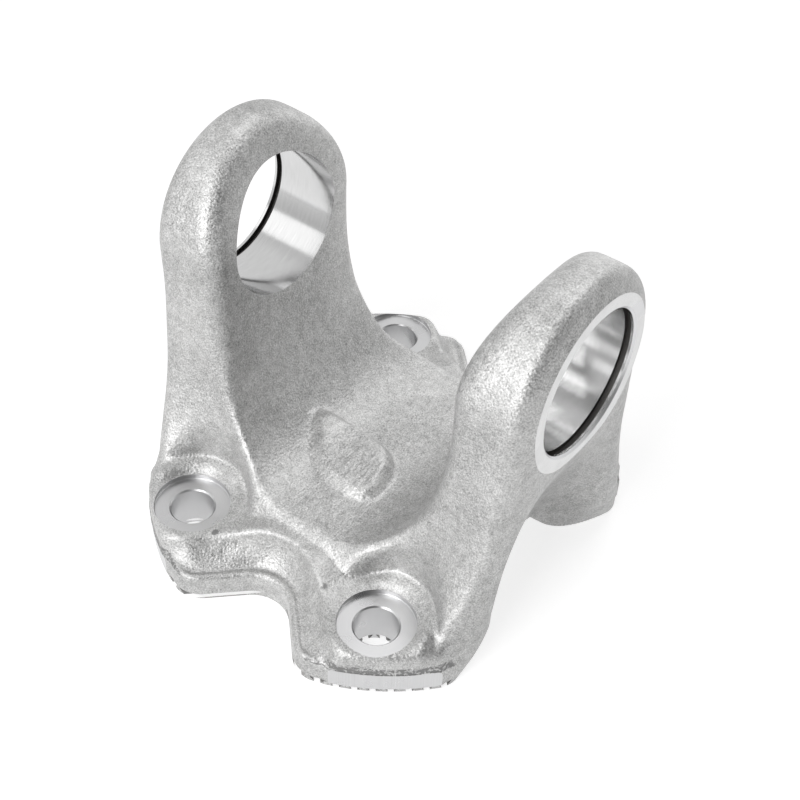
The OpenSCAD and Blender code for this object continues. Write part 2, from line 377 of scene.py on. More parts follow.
    def swelling(self, x: Array, y: Array) -> Array:
        """The swelling on the trough's floor: straight sides and rounded corners.

        Args:
            x: Places across the ears.
            y: Places along the trough.

        Returns:
            Its height over the plain floor.
        """
        near = np.full(np.broadcast(x, y).shape, self.swell_most, np.float32)
        corners = self.swell_corners
        for (px, py), (qx, qy) in zip(corners, corners[1:] + corners[:1]):
            dx, dy = qx - px, qy - py
            inside = ((x - px) * dy - (y - py) * dx) / math.hypot(dx, dy)
            near = meet(near, inside, self.swell_corner)
        return (self.swell_h + self.swell_fall * np.minimum(y, 0.0)) * ease(
            near / self.swell_slope)

    def crown_rise(self, y: Array, z: Array) -> Array:
        """0 beside the bore, 1 at the crown of an ear."""
        up = np.maximum(z - self.bore_z, 0.0)
        return up * up / (y * y + up * up + SMALL)

    def inner_side(self, x: Array, y: Array, z: Array) -> Array:
        """The trough and the inner faces of the ears.

        Args:
            x: Places across the ears.
            y: Places along the trough.
            z: Heights.

        Returns:
            The distance under these faces.
        """
        fall = self.bore_z - self.floor_z
        raised = self.swelling(x, y) + self.floor_crown * np.maximum(
            1.0 - (y / self.floor_half) ** 2, 0.0)
        depth = np.maximum(self.bore_z - z + raised, 0.0)
        p = self.trough_power
        a, b = np.abs(x) / self.gap_x, depth / fall
        s = np.maximum((a**p + b**p) ** (1.0 / p), SMALL)
        slope = np.hypot((a / s) ** (p - 1.0) / self.gap_x, (b / s) ** (p - 1.0) / fall)
        lean = self.ear_lean * self.crown_rise(y, z)
        return (s - 1.0) / np.maximum(slope, LEAST_SLOPE) - lean

    def at_foot(self, gain: float) -> Array:
        """Radius at the foot of the ears, tight in the trough and wider at the legs."""
        return self.foot_round + gain * self.foot_ramp.at(np.abs(self.grid[0]))

    def ears(self) -> Array:
        """The saddle with both legs and rings.

        Returns:
            The distance under their surface.
        """
        x, y, z = self.grid
        ax, ay = np.abs(x), np.abs(y)
        under = np.maximum(self.flare_z - z, 0.0) / self.flare_z
        spread = (self.ring_r + self.flare_y * under**2 + self.leg_spread * self.leg_ramp.at(z)
                  * ease((ax - self.gap_x) / (self.foot_x - self.gap_x)))
        slope = 2.0 * self.flare_y / self.flare_z * under
        up = np.maximum(z - self.bore_z, 0.0)
        radial = np.where(z > self.bore_z, np.hypot(ay, up), ay)
        side = (spread - radial) / np.sqrt(1.0 + slope * slope)
        edge = self.saddle_round + (
            self.inner_round - self.saddle_round) * self.saddle_ramp.at(z)
        edge = edge + (self.crown_round - self.inner_round) * self.crown_rise(y, z)
        body = meet(side, self.inner_side(x, y, z), edge)
        deep, wide = self.bevel
        outer = self.outer_x(z)
        bevel = (wide * (outer - ax) + deep * (spread - wide - radial)) / math.hypot(deep, wide)
        body = meet(body, bevel + self.bevel_stock, self.bevel_round)
        body = meet(body, outer + self.face_stock - ax, self.face_round)
        within = self.plan(self.wall_r - self.ear_inset, self.hollow_r(z) + self.ear_setback,
                           2.0 * self.face_x)
        return meet(body, within, self.at_foot(self.foot_edge))

    def facing_boss(self) -> Array:
        """Short raised ring that carries the machined face of an ear.

        Returns:
            The distance under its surface.
        """
        x, y, z = self.grid
        r = np.hypot(y, z - self.bore_z)
        ax = np.abs(x)
        cone = (self.facing_r + self.facing_spare - r + (self.face_x - ax)) / ROOT_TWO
        cone = meet(cone, self.boss_r - r, self.boss_round)
        cone = meet(cone, ax - self.boss_x, self.boss_round)
        return meet(cone, self.face_x + self.boss_stock - ax, self.boss_edge)

    def plan(self, rim: float | Array, hollow_r: float | Array, end: float | Array) -> Array:
        """Outline of the flange: rim, hollows, rounded lobes and flat ends.

        Args:
            rim: Radius of the rim.
            hollow_r: Radius of the hollows' bottoms.
            end: Distance of the flat ends from the middle.

        Returns:
            The distance inside the outline.
        """
        x, y, _ = self.grid
        ax, ay = np.abs(x), np.abs(y)
        bottom = self.scallop_y - self.scallop_r * ROOT_TWO - (
            hollow_r - self.scallop_r) * ROOT_TWO
        a = (ay - ax - bottom) / ROOT_TWO
        b = (ay + ax - bottom) / ROOT_TWO
        within = rim - np.hypot(np.minimum(ax, self.foot_x), y)
        outline = meet(within, -meet(a, b, hollow_r), self.corner_r)
        return meet(outline, end - ax, self.end_round)

    def land(self) -> Array:
        """0 on the pads, 1 on the raised land between them."""
        return self.land_ramp.at(np.abs(self.grid[0]))

    def hollow_r(self, z: Array) -> Array:
        """Radius of a hollow's wall: a lip, then a cove up to the land.

        Args:
            z: Heights.

        Returns:
            The radius at each height.
        """
        middle = self.land()
        top = self.pad_z + self.land_rise * middle
        up = np.clip((z - self.rim_t) / (top - self.rim_t), 0.0, 1.0)
        return self.scallop_r + self.lip_w + (self.cove - self.land_cove * middle) * (
            1.0 - (1.0 - up) ** 2)

    def turned(self) -> Array:
        """Where the rim is turned.

        Returns:
            1 there, 0 beside it.
        """
        x, y, _ = self.grid
        turn = np.degrees(np.arctan2(np.abs(x), np.abs(y)))
        return self.arc_start.at(turn) * self.arc_end.at(turn)

    def from_hole(self) -> Array:
        """Distance from the axis of the nearest bolt hole."""
        x, y, _ = self.grid
        return np.hypot(np.abs(x) - self.hole[0], np.abs(y) - self.hole[1])

    def ledge(self, turned: Array) -> Array:
        """The ledge at the flange's foot, with the bead along its edge.

        Args:
            turned: 1 where the rim is turned, 0 beside it.

        Returns:
            The distance under its surface.
        """
        x, _, z = self.grid
        plate = self.plan(self.rim_r - self.rim_relief + self.rim_stock * turned,
                          self.scallop_r, self.foot_x + self.end_stock)
        high, at, wide = self.bead
        bead = high * np.exp(-((plate - at) / wide) ** 2) * self.bead_ramp.at(np.abs(x))
        return meet(plate, self.rim_t + bead - z, self.ledge_round)

    def wall(self, turned: Array) -> Array:
        """The wall over the ledge, which leans inwards with its height.

        Args:
            turned: 1 where the rim is turned, 0 beside it.

        Returns:
            The distance inside the wall.
        """
        z = self.grid[2]
        up = np.clip((z - self.rim_t) / (self.pad_z - self.rim_t), 0.0, 1.0)
        return self.plan(self.wall_r + self.wall_stock * turned - self.wall_draft * up,
                         self.hollow_r(z), self.foot_x + self.wall_draft * up)

    def pads(self, wall: Array) -> Array:
        """The pads with the raised land between them.

        Args:
            wall: The distance inside the wall.

        Returns:
            The distance under their surface.
        """
        x, y, z = self.grid
        reach = np.hypot(x, y)
        top = (self.pad_z + self.land_rise * self.land()
               - self.pad_fall * self.pad_ramp.at(reach))
        top = top - (self.seat_drop * self.seat_ramp.at(self.from_hole())
                     * self.seat_rim_ramp.at(reach))
        low, more = self.pad_round
        return meet(wall, top - z, low + more * self.pad_round_ramp.at(reach))

    def collars(self, wall: Array) -> Array:
        """The low collars that rise round the bolt seats towards the trough.

        Args:
            wall: The distance inside the wall.

        Returns:
            The distance under their surface.
        """
        x, y, z = self.grid
        d = self.from_hole()
        high, at, half = self.collar
        inward = self.collar_y_ramp.at(np.abs(y)) * self.collar_x_ramp.at(
            np.abs(x) - self.hole[0])
        crest = self.pad_z - self.collar_drop + (high + self.collar_drop) * inward * (
            1.0 - np.clip((d - at) / half, -1.0, 1.0) ** 2)
        top_round, wall_round = self.collar_rounds
        ring = meet(self.pocket_r + self.collar_spare - d, crest - z, top_round)
        return meet(ring, wall, wall_round)

    def flange(self) -> Array:
        """The lobed flange with its ledge, wall, pads and collars.

        Returns:
            The distance under its surface.
        """
        turned = self.turned()
        wall = self.wall(turned)
        flange = join(self.pads(wall), self.ledge(turned), self.ledge_fillet)
        return join(flange, self.collars(wall), self.collar_fillet)

    def arches(self) -> Array:
        """The hollows under the ears.

        Returns:
            The distance from their walls, positive inside the hollow.
        """
        x, y, z = self.grid
        ax, ay = np.abs(x), np.abs(y)
        far = float(self.outer_x(np.float32(self.arch_z)))
        t = np.clip((ax - self.arch_x) / (far - self.arch_x), 0.0, self.arch_past)
        top = np.maximum(self.arch_z * t**self.arch_power, self.arch_least)
        narrow, wide = self.arch_w
        half = (narrow + (wide - narrow) * t * t) / 2.0
        start = self.arch_x + self.toe_x
        out = np.clip((ax - start) / (self.foot_x - start), 0.0, self.toe_past)
        down = np.clip(1.0 - z / self.toe_z, 0.0, self.toe_past)
        toe = self.toe_w * out**self.toe_power * down**2
        across, up = np.maximum(ay - toe, 0.0) / half, np.maximum(z, 0.0) / top
        p = self.arch_curve
        s = (across**p + up**p) ** (1.0 / p) - 1.0
        steep, gentle = self.arch_slopes
        away = np.maximum(evened(s.astype(np.float32), self.step), (z - top) / steep)
        return -np.maximum(np.maximum(away, self.arch_x - ax), (ay - toe - half) * gentle)

    def body(self) -> Array:
        """The whole forging as one field.

        Returns:
            The distance under its surface.
        """
        ears = join(self.ears(), self.facing_boss(), self.boss_fillet)
        ears = meet(ears, self.from_hole() - self.pocket_r, self.pocket_round)
        solid = join(ears, self.flange(), self.at_foot(self.foot_fillet))
        solid = meet(solid, -self.arches(), self.arch_round)
        return np.minimum(solid, self.grid[2] + self.stock)

    def mesh(self, name: str) -> bpy.types.Mesh:
        """Draws the forging's skin.

        Args:
            name: Name of the mesh.

        Returns:
            The mesh, in metres.
        """
        values = self.body()
        points, faces = skin_of(values, self.low, self.step)
        points = self.settled(points, values)
        mesh = bpy.data.meshes.new(name)
        mesh.from_pydata((points * MM).tolist(), [], faces.tolist())
        mesh.update()
        return mesh

    def settled(self, points: Array, values: Array) -> Array:
        """Moves each point along the field's slope onto the surface.

        Args:
            points: The points, in mm.
            values: The field.

        Returns:
            The moved points.
        """
        slopes = np.gradient(values, self.step)
        limit = self.settle_share * self.step
        for _ in range(self.settle_turns):
            v = self.sampled(values, points)
            g = np.stack([self.sampled(s, points) for s in slopes], axis=1)
            size = np.maximum((g * g).sum(axis=1), self.settle_slope)
            points = points + np.clip(-(v / size)[:, None] * g, -limit, limit)
        return points

    def sampled(self, values: Array, points: Array) -> Array:
        """Reads a field between its grid points.

        Args:
            values: The field.
            points: Where it is read, in mm.

        Returns:
            Its value at each point.
        """
        at = (points - self.low) / self.step
        cell = np.clip(at.astype(np.int64), 0, np.array(values.shape) - 2)
        f = at - cell
        out = np.zeros(len(points))
        for corner in np.ndindex(2, 2, 2):
            share = np.prod(np.where(np.array(corner), f, 1.0 - f), axis=1)
            out += share * values[tuple((cell + corner).T)]
        return out


# --------------------------------------------------------- objects and nodes


def linked(name: str, data: bpy.types.ID) -> bpy.types.Object:
    """Makes an object and links it into the scene.

    Args:
        name: Name of the object.
        data: What it holds.

    Returns:
        The new object.
    """
    made = bpy.data.objects.new(name, data)
    bpy.context.scene.collection.objects.link(made)
    return made


def object_of(name: str, bm: bmesh.types.BMesh) -> bpy.types.Object:
    """Makes an object of a bmesh and frees the bmesh.

    Args:
        name: Name of the object and of its mesh.
        bm: The faces.

    Returns:
        The object, linked into the scene.
    """
    mesh = bpy.data.meshes.new(name)
    bm.to_mesh(mesh)
    bm.free()
    return linked(name, mesh)


def mesh_of(shaped: bpy.types.Object) -> bpy.types.Mesh:
    """Runs an object's modifiers.

    Args:
        shaped: The object.

    Returns:
        A new plain mesh of the result.
    """
    bpy.context.view_layer.update()
    graph = bpy.context.evaluated_depsgraph_get()
    return bpy.data.meshes.new_from_object(shaped.evaluated_get(graph))


def add_node(tree: bpy.types.NodeTree, kind: str, wires: dict | None = None,
             **settings: object) -> bpy.types.Node:
    """Adds a node to a tree.

    Args:
        tree: The tree that the node goes into.
        kind: The node's type.
        wires: What goes into each input, a socket or a plain value.
        settings: The node's own properties.

    Returns:
        The new node.
    """
    made = tree.nodes.new(kind)
    for key, value in settings.items():
        setattr(made, key, value)
    for key, value in (wires or {}).items():
        if isinstance(value, Socket):
            tree.links.new(value, made.inputs[key])
        else:
            made.inputs[key].default_value = value
    return made


class Recipe:
    """A Geometry Nodes tree with named inputs, run once on an empty mesh."""

    def __init__(self, name: str, **inputs: float | int | bpy.types.ID) -> None:
        """Makes the tree and its inputs.

        Args:
            name: Name of the tree and of what it makes.
            inputs: Value of each named input, in metres where it is a length.
        """
        self.name = name
        self.values = inputs
        self.group = bpy.data.node_groups.new(name, "GeometryNodeTree")
        for key, value in inputs.items():
            self.group.interface.new_socket(key, in_out="INPUT", socket_type=self.kind(value))
        self.group.interface.new_socket("Geometry", in_out="OUTPUT",
                                        socket_type="NodeSocketGeometry")
        self.entry = self.group.nodes.new("NodeGroupInput")
        self.exit = self.group.nodes.new("NodeGroupOutput")

    @staticmethod
    def kind(value: float | int | bpy.types.ID) -> str:
        """Finds the type of an input.

        Args:
            value: What the input holds.

        Returns:
            The socket type that holds it.
        """
        if isinstance(value, bpy.types.Material):
            return "NodeSocketMaterial"
        if isinstance(value, bpy.types.Object):
            return "NodeSocketObject"
        return "NodeSocketInt" if isinstance(value, int) else "NodeSocketFloat"

    def given(self, key: str) -> Socket:
        """The socket of a named input."""
        return self.entry.outputs[key]

    def node(self, kind: str, wires: dict | None = None, **settings: object) -> bpy.types.Node:
        """Adds a node, as add_node does."""
        return add_node(self.group, kind, wires, **settings)

    def math(self, kind: str, a: Value, b: Value) -> Socket:
        """The result of a Math node of that kind on two values."""
        return self.node("ShaderNodeMath", {0: a, 1: b}, operation=kind).outputs[0]

    def vector(self, x: Value = 0.0, y: Value = 0.0, z: Value = 0.0) -> Socket:
        """Three values as one vector."""
        return self.node("ShaderNodeCombineXYZ", {0: x, 1: y, 2: z}).outputs[0]

    def made(self, geometry: Socket, material: str) -> bpy.types.Object:
        """Ends the tree in plain faces with a material and runs it.

        Args:
            geometry: What the tree has made.
            material: Name of the input that holds the material.

        Returns:
            An object with a plain mesh and no modifier.
        """
        real = self.node("GeometryNodeRealizeInstances", {0: geometry}).outputs[0]
        dressed = self.node("GeometryNodeSetMaterial",
                            {"Geometry": real, "Material": self.given(material)}).outputs[0]
        self.group.links.new(dressed, self.exit.inputs[0])
        holder = linked(self.name, bpy.data.meshes.new(self.name))
        modifier = holder.modifiers.new(self.name, "NODES")
        modifier.node_group = self.group
        for item in self.group.interface.items_tree:
            if item.in_out == "INPUT":
                modifier[item.identifier] = self.values[item.name]
        mesh = mesh_of(holder)
        bpy.data.objects.remove(holder)
        return linked(self.name, mesh)


# ------------------------------------------------------------------- tools


def lathe(name: str, profile: list[Pair], steps: int, axis: str = "Z") -> bpy.types.Object:
    """Turns a closed tool from a profile of (radius, height) pairs in mm.

    Args:
        name: Name of the object.
        profile: Points from the lower end of the axis to its upper end, or
            round a ring's section, which then ends where it starts.
        steps: Number of facets round the axis.
        axis: "Z", or "X" for a tool that lies along the ear bores.

    Returns:
        The tool with outward faces.
    """
    bm = bmesh.new()
    rings = []
    ring_shaped = profile[0] == profile[-1]
    for r, h in profile[:-1] if ring_shaped else profile:
        ring = []
        for k in range(steps):
            a = 2.0 * math.pi * (k + 0.5) / steps
            p = (r * math.cos(a), r * math.sin(a), h)
            if axis == "X":
                p = (h, r * math.cos(a), r * math.sin(a))
            ring.append(bm.verts.new([c * MM for c in p]))
        rings.append(ring)
    for low, high in zip(rings, rings[1:] + rings[:1] if ring_shaped else rings[1:]):
        for k in range(steps):
            bm.faces.new((low[k], low[(k + 1) % steps], high[(k + 1) % steps], high[k]))
    if not ring_shaped:
        bm.faces.new(rings[0][::-1])
        bm.faces.new(rings[-1])
    bmesh.ops.recalc_face_normals(bm, faces=bm.faces[:])
    return object_of(name, bm)


def slab(name: str, low: Point, high: Point) -> bpy.types.Object:
    """A box-shaped tool between two corners.

    Args:
        name: Name of the object.
        low: The lowest corner in mm.
        high: The highest corner in mm.

    Returns:
        The tool.
    """
    bm = bmesh.new()
    bmesh.ops.create_cube(bm, size=1.0)
    for v in bm.verts:
        v.co = Vector([(b if c > 0 else a) * MM for c, a, b in zip(v.co, low, high)])
    return object_of(name, bm)


@dataclass
class EarBores:
    """The bored ears: bores, ring grooves, chamfers and faced rings."""

    bore_z: float = DATUM.bore_z
    bore_r: float = DATUM.bore_r
    face_x: float = DATUM.face_x
    groove_x: float = 75.9
    groove_w: float = 2.4
    groove_depth: float = 2.0
    mouth: float = 0.8
    overrun: float = 6.0
    facing_y: float = 60.0
    facing_z: Pair = (60.0, 160.0)
    steps: int = 192

    def tools(self) -> list[bpy.types.Object]:
        """Makes the two facing cuts, and the boring bar with its grooves.

        Returns:
            The tools in the order of their use.
        """
        r, face, out = self.bore_r, self.face_x, self.face_x + self.overrun
        deep, near = r + self.groove_depth, self.groove_x - self.groove_w
        wide = r + self.mouth + HAIR
        half = [(r, 0.0), (r, near), (deep, near), (deep, self.groove_x), (r, self.groove_x),
                (r, face - self.mouth), (wide, face + HAIR), (wide, out)]
        profile = [(a, -h) for a, h in half[::-1]] + half[1:]
        bar = lathe("boring_bar", profile, self.steps, "X")
        bar.data.transform(Matrix.Translation((0.0, 0.0, self.bore_z * MM)))
        low, high = self.facing_z
        cuts = [slab(f"facing_{name}", (a, -self.facing_y, low), (b, self.facing_y, high))
                for name, a, b in (("a", face, out), ("b", -out, -face))]
        return [*cuts, bar]

    def kind(self, at: Array, normal: Array) -> Array:
        """Finds the faces that are honed, grooved or faced.

        Args:
            at: Middle of each face, in mm.
            normal: Normal of each face.

        Returns:
            The number of each face's surface, 0 where it is none of these.
        """
        r = np.hypot(at[:, 1], at[:, 2] - self.bore_z)
        ax = np.abs(at[:, 0])
        honed = r < self.bore_r + HAIR
        grooved = ((r < self.bore_r + self.groove_depth + NEAR) & (ax < self.groove_x + HAIR)
                   & (ax > self.groove_x - self.groove_w - HAIR) & ~honed)
        flat = (np.abs(ax - self.face_x) < CLOSE) & (np.abs(normal[:, 0]) > STRAIGHT)
        mouth = (r < self.bore_r + self.mouth + CLOSE) & (ax > self.face_x - self.mouth - HAIR)
        kinds = np.select(
            [(flat | mouth) & ~honed, grooved, honed],
            [Surface.FACED.value, Surface.GROOVED.value, Surface.HONED.value], 0)
        return kinds * (at[:, 2] > self.facing_z[0])


@dataclass
class BoltSeats:
    """The bolt holes and the spot faces round them."""

    spacing: Pair = (86.036, 122.873)
    hole_r: float = 8.0
    spot_r: float = 14.0
    spot_z: float = 18.0
    spot_break: float = 0.3
    break_w: float = 0.5
    under: float = 2.0
    over: float = 40.0
    steps: int = 128

    def tools(self) -> list[bpy.types.Object]:
        """Makes the four stepped drills, set out by a node tree.

        Returns:
            One tool with all four.
        """
        r, z, c = self.hole_r, self.spot_z, self.break_w
        profile = [(r + c + self.under, -self.under), (r + c, 0.0), (r, c), (r, z - c),
                   (r + c, z), (self.spot_r - self.spot_break, z),
                   (self.spot_r, z + self.spot_break), (self.spot_r, z + self.over)]
        drill = lathe("stepped_drill", profile, self.steps)
        recipe = Recipe("bolt_pattern", Drill=drill, Across=self.spacing[0] * MM,
                        Along=self.spacing[1] * MM, Finish=Finishes.get(Surface.TURNED))
        corners = recipe.node("GeometryNodeMeshGrid", {
            "Size X": recipe.given("Across"), "Size Y": recipe.given("Along"),
            "Vertices X": 2, "Vertices Y": 2})
        shape = recipe.node("GeometryNodeObjectInfo", {"Object": recipe.given("Drill")})
        placed = recipe.node("GeometryNodeInstanceOnPoints", {
            "Points": corners.outputs[0], "Instance": shape.outputs["Geometry"]})
        made = recipe.made(placed.outputs[0], "Finish")
        bpy.data.objects.remove(drill)
        return [made]

    def kind(self, at: Array, normal: Array) -> Array:
        """Finds the faces that are turned.

        Args:
            at: Middle of each face, in mm.
            normal: Normal of each face, which isn't needed here.

        Returns:
            The number of each face's surface, 0 where it isn't turned.
        """
        d = np.hypot(np.abs(at[:, 0]) - self.spacing[0] / 2.0,
                     np.abs(at[:, 1]) - self.spacing[1] / 2.0)
        seat = (d < self.spot_r + CLOSE) & (
            np.abs(at[:, 2] - self.spot_z) < self.spot_break + NEAR)
        hole = (d < self.hole_r + self.break_w + CLOSE) & (at[:, 2] < self.spot_z + HAIR)
        step = (np.abs(d - self.spot_r) < NEAR) & (at[:, 2] > self.spot_z)
        return np.where(seat | hole | step, Surface.TURNED.value, 0)


@dataclass
class MatingFace:
    """The serrated lobes, the recess inside them and the turned rim."""

    pitch: float = 6.2
    tip: float = 2.3
    depth: float = 2.3
    angle: float = 70.0
    lobe_turn: float = 45.0
    first: int = -2
    last: int = 7
    over: float = 1.0
    recess_r: float = 50.0
    recess_depth: float = 4.0
    rim_r: float = DATUM.rim_r
    rim_t: float = 10.4
    turning_w: float = 8.0
    relief_in: float = 0.7
    relief_w: float = 9.0
    relief_under: float = 1.5
    plane_half: float = 120.0
    plane_under: float = 20.0
    steps: int = 256

    def serrations(self) -> bpy.types.Object:
        """Makes the saw cuts of all four lobes, repeated and mirrored by a tree.

        Returns:
            One tool with all the cuts.
        """
        over = self.over
        slope = math.tan(math.radians(self.angle / 2.0))
        top = self.pitch - self.tip
        root = top - 2.0 * self.depth * slope
        mouth = top + 2.0 * over * slope
        recipe = Recipe("serrations", Pitch=self.pitch * MM, Mouth=mouth * MM, Root=root * MM,
                        Height=(self.depth + over) * MM, Over=over * MM,
                        Start=(self.recess_r - over) * MM, Length=self.rim_r * MM,
                        First=(self.first + 0.5) * self.pitch * MM,
                        Count=self.last - self.first + 1, Finish=Finishes.get(Surface.SAWN))
        profile = recipe.node("GeometryNodeCurvePrimitiveQuadrilateral", {
            "Height": recipe.given("Height"), "Bottom Width": recipe.given("Mouth"),
            "Top Width": recipe.given("Root"), "Offset": 0.0}, mode="TRAPEZOID")
        path = recipe.node("GeometryNodeCurvePrimitiveLine", {
            "Start": recipe.vector(x=recipe.given("Start")),
            "End": recipe.vector(x=recipe.math("ADD", recipe.given("Start"),
                                               recipe.given("Length")))})
        cut = recipe.node("GeometryNodeCurveToMesh", {
            "Curve": path.outputs[0], "Profile Curve": profile.outputs[0], "Fill Caps": True})
        row = recipe.node("GeometryNodeMeshLine", {
            "Count": recipe.given("Count"),
            "Start Location": recipe.vector(y=recipe.given("First")),
            "Offset": recipe.vector(y=recipe.given("Pitch"))})
        placed = recipe.node("GeometryNodeInstanceOnPoints", {
            "Points": row.outputs[0], "Instance": cut.outputs[0]})
        real = recipe.node("GeometryNodeRealizeInstances", {0: placed.outputs[0]})
        half_height = recipe.math("MULTIPLY", recipe.given("Height"), 0.5)
        lift = recipe.math("SUBTRACT", half_height, recipe.given("Over"))
        lobe = recipe.node("GeometryNodeTransform", {
            "Geometry": real.outputs[0], "Translation": recipe.vector(z=lift),
            "Rotation": (0.0, 0.0, math.radians(self.lobe_turn))})
        every = recipe.node("GeometryNodeJoinGeometry")
        for across in (1.0, -1.0):
            for along in (1.0, -1.0):
                placed = recipe.node("GeometryNodeTransform", {
                    "Geometry": lobe.outputs[0], "Scale": (across, along, 1.0)})
                if across * along < 0.0:
                    placed = recipe.node("GeometryNodeFlipFaces", {0: placed.outputs[0]})
                recipe.group.links.new(placed.outputs[0], every.inputs[0])
        return recipe.made(every.outputs[0], "Finish")

    def ring(self, name: str, radii: Pair, heights: Pair) -> bpy.types.Object:
        """A ring-shaped tool round the flange.

        Args:
            name: Name of the tool.
            radii: Its inner and its outer radius.
            heights: Its lower and its upper end.

        Returns:
            The tool.
        """
        (inner, outer), (low, high) = radii, heights
        return lathe(name, [(inner, low), (inner, high), (outer, high), (outer, low),
                            (inner, low)], self.steps)

    def tools(self) -> list[bpy.types.Object]:
        """Makes the plane of the tooth tips, the rim's cuts, the recess and the saw.

        Returns:
            The tools in the order of their use.
        """
        half, rim = self.plane_half, self.rim_r
        plane = slab("mating_plane", (-half, -half, -self.plane_under), (half, half, 0.0))
        turning = self.ring("rim_turning", (rim, rim + self.turning_w),
                            (-self.over, self.rim_t))
        relief = self.ring("tooth_relief", (rim - self.relief_in, rim + self.relief_w),
                           (-self.relief_under, self.depth))
        recess = lathe("recess", [(self.recess_r + self.over, -self.over), (self.recess_r, 0.0),
                                  (self.recess_r, self.recess_depth)], self.steps)
        return [plane, turning, relief, recess, self.serrations()]

    def kind(self, at: Array, normal: Array) -> Array:
        """Finds the faces that are turned or sawn.

        Args:
            at: Middle of each face, in mm.
            normal: Normal of each face.

        Returns:
            The number of each face's surface, 0 where it is none of these.
        """
        r, z = np.hypot(at[:, 0], at[:, 1]), at[:, 2]
        rim = (np.abs(r - self.rim_r) < NEAR) & (z < self.rim_t + CLOSE) & (z > self.depth)
        recess = (r < self.recess_r + NEAR) & (z < self.recess_depth + CLOSE)
        flank = np.abs(normal[:, 0] ** 2 - normal[:, 1] ** 2) < CLOSE
        sawn = ((z < self.depth + CLOSE) & (r > self.recess_r) & ~rim
                & ((np.abs(normal[:, 2]) > STRAIGHT) | flank))
        return np.select([rim | recess, (z < CLOSE) | sawn],
                         [Surface.TURNED.value, Surface.SAWN.value], 0)


# ---------------------------------------------------------------- finishes


class Shader:
    """A material under construction, with short ways to add nodes."""

    MIDDLE: Pair = (0.3, 0.7)

    def __init__(self, name: str) -> None:
        """Makes the material with its Principled shader and Object coordinates.

        Args:
            name: Name of the material.
        """
        self.material = bpy.data.materials.new(name)
        self.material.use_nodes = True
        self.tree = self.material.node_tree
        self.main = self.tree.nodes["Principled BSDF"]
        self.place = self.add("ShaderNodeTexCoord").outputs["Object"]

    def add(self, kind: str, wires: dict | None = None, **settings: object) -> bpy.types.Node:
        """Adds a node, as add_node does."""
        return add_node(self.tree, kind, wires, **settings)

    def noise(self, scale: float, detail: float = 2.0, at: Socket | None = None,
              rough: float = 0.5) -> Socket:
        """Noise with features of about one part in scale of a metre.

        Args:
            scale: Number of features in a metre.
            detail: Number of finer layers.
            at: Where it is read, if not at the plain place.
            rough: Share of each finer layer.

        Returns:
            The socket that holds it.
        """
        return self.add("ShaderNodeTexNoise", {
            "Vector": at or self.place, "Scale": scale, "Detail": detail,
            "Roughness": rough}).outputs["Fac"]

    def math(self, kind: str, a: Value, b: Value = 0.0) -> Socket:
        """The result of a Math node of that kind."""
        return self.add("ShaderNodeMath", {0: a, 1: b}, operation=kind).outputs[0]

    def spread(self, value: Value, low: Pair, high: Pair) -> Socket:
        """Maps a value from one range to another and clamps it.

        Args:
            value: What is mapped.
            low: The range that it comes from.
            high: The range that it goes to.

        Returns:
            The socket that holds the result.
        """
        return self.add("ShaderNodeMapRange", {
            "Value": value, "From Min": low[0], "From Max": low[1],
            "To Min": high[0], "To Max": high[1]}).outputs[0]

    def even(self, noise: Socket, high: Pair) -> Socket:
        """Maps the middle of a noise, where most of it lies, to a range."""
        return self.spread(noise, self.MIDDLE, high)

    def shade(self, value: Socket, dark: Point, light: Point) -> Socket:
        """A colour between a dark and a light one.

        Args:
            value: 0 for the dark colour, 1 for the light one.
            dark: The dark colour.
            light: The light colour.

        Returns:
            The socket that holds the colour.
        """
        mix = self.add("ShaderNodeMix", data_type="RGBA")
        self.tree.links.new(value, mix.inputs["Factor"])
        mix.inputs["A"].default_value = (*dark, 1.0)
        mix.inputs["B"].default_value = (*light, 1.0)
        return mix.outputs["Result"]

    def wire(self, **sockets: Value) -> None:
        """Sets the main shader's inputs.

        Args:
            sockets: A socket or a value for each, with underscores for spaces.
        """
        for key, value in sockets.items():
            target = self.main.inputs[key.replace("_", " ")]
            if isinstance(value, Socket):
                self.tree.links.new(value, target)
            else:
                target.default_value = value

    def bump(self, height: Socket, strength: float, distance: float,
             under: Socket | None = None) -> Socket:
        """The normal of a bump map.

        Args:
            height: The height, from 0 to 1.
            strength: Share of the bump that shows.
            distance: Height of the bump in metres.
            under: The normal of another bump that this one lies on.

        Returns:
            The socket that holds the normal.
        """
        node = self.add("ShaderNodeBump", {"Height": height, "Strength": strength,
                                           "Distance": distance})
        if under is not None:
            self.tree.links.new(under, node.inputs["Normal"])
        return node.outputs["Normal"]

    def parts(self) -> tuple[Socket, Socket, Socket]:
        """The three Object coordinates."""
        split = self.add("ShaderNodeSeparateXYZ", {0: self.place})
        return split.outputs[0], split.outputs[1], split.outputs[2]

    def reach(self, x: Socket, y: Socket) -> Socket:
        """Distance from an axis, from the two coordinates across it."""
        flat = self.add("ShaderNodeCombineXYZ", {0: x, 1: y}).outputs[0]
        return self.add("ShaderNodeVectorMath", {0: flat}, operation="LENGTH").outputs["Value"]

    def stretched(self, factors: Point) -> Socket:
        """The place with each coordinate multiplied by a factor."""
        return self.add("ShaderNodeVectorMath", {0: self.place, 1: factors},
                        operation="MULTIPLY").outputs[0]

    def radius(self, kind: Surface) -> Socket:
        """Distance from the axis that a surface was turned about.

        Args:
            kind: TURNED for the bolt seats, any other for the ear bores.

        Returns:
            The socket that holds it, in metres.
        """
        x, y, z = self.parts()
        if kind is Surface.TURNED:
            x, y = (self.math("SUBTRACT", self.math("ABSOLUTE", c), hole * MM)
                    for c, hole in zip((x, y), DATUM.hole))
        else:
            x, y = y, self.math("SUBTRACT", z, DATUM.bore_z * MM)
        return self.reach(x, y)


